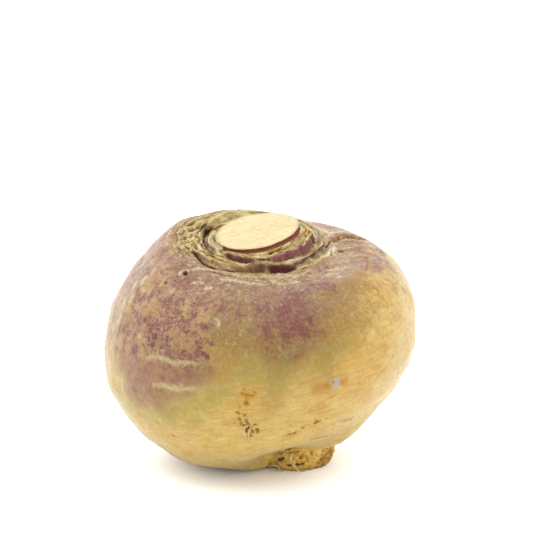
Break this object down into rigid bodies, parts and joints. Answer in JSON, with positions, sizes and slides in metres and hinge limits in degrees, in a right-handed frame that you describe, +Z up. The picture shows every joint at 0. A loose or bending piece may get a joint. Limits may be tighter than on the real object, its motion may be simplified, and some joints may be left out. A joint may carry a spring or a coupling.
{
  "type": "rutabaga",
  "caption": "Whole rutabaga root resting on its belly and stub, with a flat cut crown ringed by stepped leaf scars, a swollen body and a trimmed taproot.",
  "frame": {"origin": "middle of the root's outline seen from above, on the surface it rests on", "axes": "+Z up as it rests, +X towards the side where the taproot stub lies, +Y towards the back; the cut crown leans to -X and a little to -Y"},
  "size_m": [0.1287, 0.1203, 0.105],
  "materials": {
    "root_skin": null
  },
  "bodies": {
    "root": {"rutabaga": "root_skin"}
  },
  "joints": []
}
